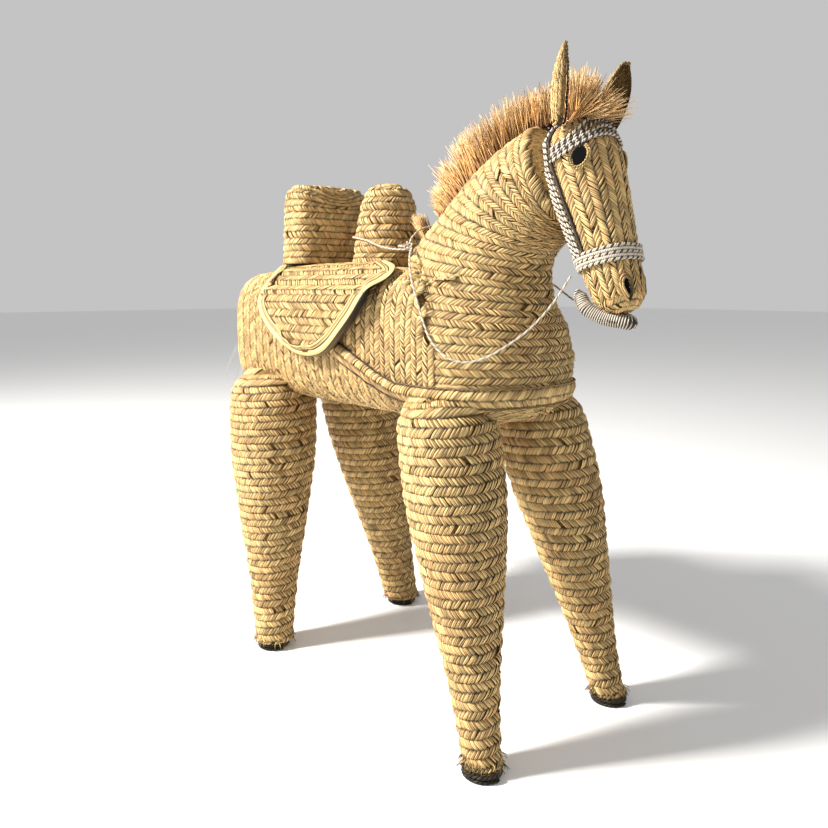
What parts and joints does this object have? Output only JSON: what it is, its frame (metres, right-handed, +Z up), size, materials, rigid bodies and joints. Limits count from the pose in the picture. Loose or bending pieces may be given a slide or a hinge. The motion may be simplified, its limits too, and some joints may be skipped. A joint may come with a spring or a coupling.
{
  "type": "woven straw horse figure",
  "caption": "Standing horse figure woven from braided straw, with a saddle, breast band, cord bridle, fibre mane and slack reins.",
  "frame": {"origin": "on the floor, in the middle of the figure's length and width", "axes": "+X to the horse's head, +Y to its left flank, +Z up"},
  "size_m": [1.1332, 0.48, 1.191],
  "materials": {
    "straw_braid": "braided straw tape sewn edge to edge, satin fibres",
    "straw_packing": "loose straw packing",
    "straw_sole": "coiled straw braid, worn",
    "timber": "planed softwood",
    "screw_steel": "plain",
    "mane_fibre": "loose natural fibre, tan",
    "tail_fibre": "loose pale fibre",
    "bridle_cord": "black and white twisted cord",
    "rein_cord": "cream and grey twisted string",
    "eye_felt": "black felt"
  },
  "bodies": {
    "horse": {"barrel_cover": "straw_braid", "neck_cover": "straw_braid", "head_cover": "straw_braid", "barrel_packing": "straw_packing", "neck_packing": "straw_packing", "head_packing": "straw_packing", "leg_cover_front_right": "straw_braid", "leg_cover_front_left": "straw_braid", "leg_cover_rear_right": "straw_braid", "leg_cover_rear_left": "straw_braid", "leg_packing_front_right": "straw_packing", "leg_packing_front_left": "straw_packing", "leg_packing_rear_right": "straw_packing", "leg_packing_rear_left": "straw_packing", "sole_front_right": "straw_sole", "sole_front_left": "straw_sole", "sole_rear_right": "straw_sole", "sole_rear_left": "straw_sole", "leg_post_front_right": "timber", "leg_post_front_left": "timber", "leg_post_rear_right": "timber", "leg_post_rear_left": "timber", "spine_beam": "timber", "front_crossbar": "timber", "rear_crossbar": "timber", "neck_post": "timber", "head_post": "timber", "frame_screws": "screw_steel", "saddle_pad": "straw_braid", "cantle_cover": "straw_braid", "cantle_packing": "straw_packing", "pommel_cover": "straw_braid", "pommel_packing": "straw_packing", "breast_band": "straw_braid", "ear_right": "straw_braid", "ear_left": "straw_braid", "eye_right": "eye_felt", "eye_left": "eye_felt", "eye_rims": "bridle_cord", "lip_roll": "bridle_cord", "browband": "bridle_cord", "noseband": "bridle_cord", "cheek_straps": "bridle_cord", "mane": "mane_fibre", "withers_tuft": "mane_fibre", "forelock": "mane_fibre", "rein_right": "rein_cord", "rein_left": "rein_cord", "pommel_loop": "rein_cord", "rein_knot": "rein_cord"},
    "right_flap": {"flap_right": "straw_braid", "flap_edging_right": "straw_braid"},
    "left_flap": {"flap_left": "straw_braid", "flap_edging_left": "straw_braid"},
    "tail_hair": {"tail": "tail_fibre"}
  },
  "joints": [
    {"name": "right_flap_lift", "type": "hinge", "parent": "horse", "child": "right_flap", "pos_m": [-0.07855, -0.1895, 0.8147], "axis": [-1, 0, 0], "range_deg": [0, 50]},
    {"name": "left_flap_lift", "type": "hinge", "parent": "horse", "child": "left_flap", "pos_m": [-0.07855, 0.1895, 0.8147], "axis": [1, 0, 0], "range_deg": [0, 50]},
    {"name": "tail_swing", "type": "hinge", "parent": "horse", "child": "tail_hair", "pos_m": [-0.50605, 0, 0.82], "axis": [0, 1, 0], "range_deg": [0, 50]}
  ]
}
